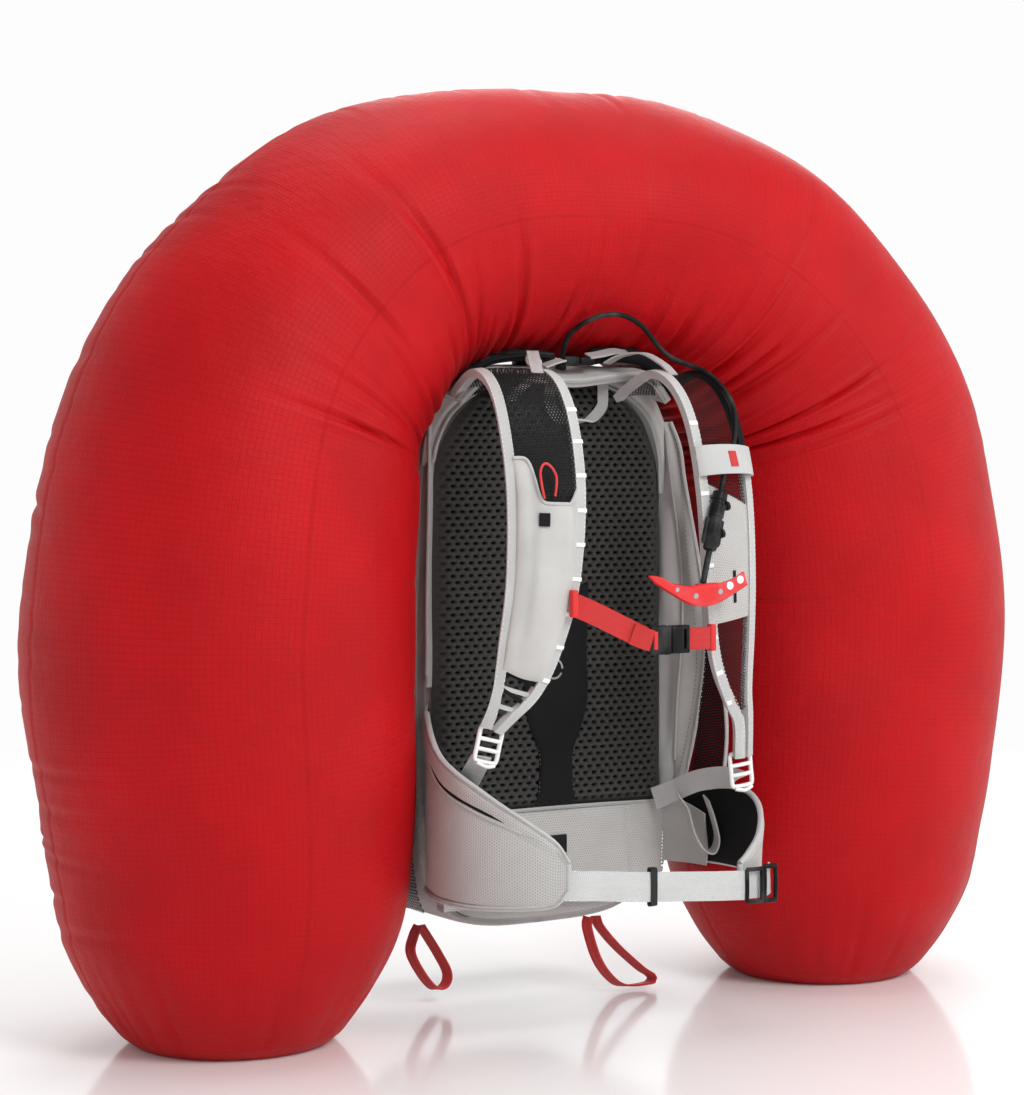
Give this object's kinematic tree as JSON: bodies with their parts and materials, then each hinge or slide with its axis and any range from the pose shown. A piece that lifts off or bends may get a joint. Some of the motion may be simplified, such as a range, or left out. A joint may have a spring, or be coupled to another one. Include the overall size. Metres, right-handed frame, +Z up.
{
  "type": "avalanche airbag backpack",
  "caption": "Ski touring backpack with harness, hip belt and trigger, its fan-filled horseshoe airbag inflated round both sides and the top.",
  "frame": {"origin": "on the floor, midway between the two airbag lobes that the pack stands on", "axes": "+X to the wearer's left, -Y the harness side that faces the wearer's back, +Z up"},
  "size_m": [1.0142, 0.3916, 0.8625],
  "materials": {
    "airbag_nylon": "satin",
    "pack_fabric": "matte",
    "white_webbing": "matte",
    "black_mesh": "matte",
    "black_fabric": "matte",
    "red_webbing": "matte",
    "black_plastic": "matte",
    "white_plastic": "matte",
    "red_plastic": "gloss",
    "cable_sheath": "matte",
    "frame_plastic": "matte",
    "fan_plastic": "matte",
    "silicone": "satin",
    "stay_aluminium": "satin",
    "steel": "brushed",
    "lens_plastic": "gloss"
  },
  "bodies": {
    "pack": {"airbag_crown": "airbag_nylon", "airbag_flaps": "pack_fabric", "airbag_haunch_left": "airbag_nylon", "airbag_haunch_right": "airbag_nylon", "airbag_lobe_left": "airbag_nylon", "airbag_lobe_right": "airbag_nylon", "airbag_shoulder_left": "airbag_nylon", "airbag_shoulder_right": "airbag_nylon", "back_mesh": "black_mesh", "battery_lead": "cable_sheath", "battery_tray": "frame_plastic", "blower_base": "fan_plastic", "blower_cover": "fan_plastic", "blower_motor": "steel", "blower_screws": "steel", "controller_case": "black_plastic", "frame_sheet": "frame_plastic", "frame_stays": "stay_aluminium", "inlet_collar": "black_plastic", "ladder_locks": "white_plastic", "load_lifters": "white_webbing", "lower_webbing": "white_webbing", "lumbar_pad": "pack_fabric", "outlet_zip": "black_fabric", "pack_body": "pack_fabric", "shoulder_strap_left": "black_mesh", "shoulder_strap_right": "black_mesh", "spine_pad": "black_fabric", "status_lens": "lens_plastic", "strap_pocket": "white_webbing", "top_buckle_socket": "black_plastic", "top_collar": "pack_fabric", "trigger_band": "white_webbing", "trigger_cable": "cable_sheath", "trigger_housing": "black_plastic", "valve_pin": "steel"},
    "outer_panel": {"outer_panel": "pack_fabric"},
    "trigger_plunger": {"trigger_plunger": "black_plastic"},
    "trigger_handle": {"trigger_handle": "red_plastic"},
    "sternum_right": {"sternum_webbing_right": "red_webbing", "sternum_buckle_socket": "black_plastic"},
    "sternum_left": {"sternum_webbing_left": "red_webbing", "sternum_buckle_prong": "black_plastic"},
    "right_wing": {"hip_wing_right": "pack_fabric", "belt_webbing": "white_webbing"},
    "belt_keeper": {"belt_keeper": "black_fabric"},
    "belt_hook": {"belt_hook": "black_plastic"},
    "left_wing": {"hip_wing_left": "pack_fabric", "belt_frame": "black_plastic"},
    "check_valve": {"check_valve_flap": "silicone"},
    "impeller": {"impeller": "fan_plastic", "motor_shaft": "steel"},
    "power_button": {"power_button": "red_plastic"},
    "battery": {"battery_pack": "black_plastic"},
    "top_prong": {"top_buckle_prong": "black_plastic"},
    "zip_slider": {"zip_slider": "black_plastic"},
    "zip_pull": {"zip_pull": "black_fabric"},
    "ski_loop_left": {"ski_loop_left": "red_webbing"},
    "ski_loop_right": {"ski_loop_right": "red_webbing"},
    "grab_loop": {"grab_loop": "pack_fabric"}
  },
  "joints": [
    {"name": "panel_open", "type": "hinge", "parent": "pack", "child": "outer_panel", "pos_m": [0, 0.148, 0.074], "axis": [-1, 0, 0], "range_deg": [0, 70]},
    {"name": "trigger_pull", "type": "slide", "parent": "pack", "child": "trigger_plunger", "axis": [-0.3129, -0.1453, -0.9386], "range_m": [0, 0.025], "stiffness_N_per_m": 300, "springref_m": -0.004},
    {"name": "handle_tilt", "type": "hinge", "parent": "trigger_plunger", "child": "trigger_handle", "pos_m": [0.054, -0.184, 0.397], "axis": [0, 1, 0], "range_deg": [-35, 35]},
    {"name": "sternum_height", "type": "slide", "parent": "pack", "child": "sternum_right", "axis": [0, -0.0968, 0.9953], "range_m": [-0.02, 0.014]},
    {"name": "sternum_release", "type": "slide", "parent": "sternum_right", "child": "sternum_left", "axis": [1, 0, 0], "range_m": [0, 0.025]},
    {"name": "right_wing_swing", "type": "hinge", "parent": "pack", "child": "right_wing", "pos_m": [-0.128, -0.009, 0.2], "axis": [0, 0, -1], "range_deg": [0, 10]},
    {"name": "left_wing_swing", "type": "hinge", "parent": "pack", "child": "left_wing", "pos_m": [0.128, -0.009, 0.2], "axis": [0, 0, 1], "range_deg": [0, 10]},
    {"name": "keeper_slide", "type": "slide", "parent": "right_wing", "child": "belt_keeper", "axis": [1, 0, 0], "range_m": [-0.07, 0.07]},
    {"name": "hook_swing", "type": "hinge", "parent": "right_wing", "child": "belt_hook", "pos_m": [0.101, -0.193, 0.14], "axis": [0, 0, -1], "range_deg": [0, 60]},
    {"name": "valve_open", "type": "hinge", "parent": "pack", "child": "check_valve", "pos_m": [0, 0.052, 0.6252], "axis": [-1, 0, 0], "range_deg": [0, 65]},
    {"name": "impeller_spin", "type": "hinge", "parent": "pack", "child": "impeller", "pos_m": [-0.038, 0.038, 0.492], "axis": [0, 1, 0], "continuous": true},
    {"name": "button_press", "type": "slide", "parent": "pack", "child": "power_button", "axis": [0, -1, 0], "range_m": [0, 0.002], "stiffness_N_per_m": 600, "springref_m": -0.001},
    {"name": "battery_lift", "type": "slide", "parent": "pack", "child": "battery", "axis": [0, 0, 1], "range_m": [0, 0.08]},
    {"name": "top_clip_release", "type": "slide", "parent": "pack", "child": "top_prong", "axis": [1, 0, 0], "range_m": [0, 0.016]},
    {"name": "zip_run", "type": "slide", "parent": "pack", "child": "zip_slider", "axis": [0, 0, 1], "range_m": [-0.15, 0.08]},
    {"name": "zip_pull_swing", "type": "hinge", "parent": "zip_slider", "child": "zip_pull", "pos_m": [0.1422, 0.147, 0.3268], "axis": [0, -1, 0], "range_deg": [0, 100]},
    {"name": "ski_loop_left_swing", "type": "hinge", "parent": "pack", "child": "ski_loop_left", "pos_m": [0.061, 0.02, 0.07], "axis": [1, 0, 0], "range_deg": [-40, 40]},
    {"name": "ski_loop_right_swing", "type": "hinge", "parent": "pack", "child": "ski_loop_right", "pos_m": [-0.096, 0.06, 0.07], "axis": [1, 0, 0], "range_deg": [-40, 40]},
    {"name": "grab_loop_swing", "type": "hinge", "parent": "pack", "child": "grab_loop", "pos_m": [0.0165, -0.027, 0.575], "axis": [-1, 0, 0], "range_deg": [0, 80]}
  ],
  "couplings": [
    {"joint": "left_wing_swing", "follows": "right_wing_swing", "ratio": 1}
  ]
}
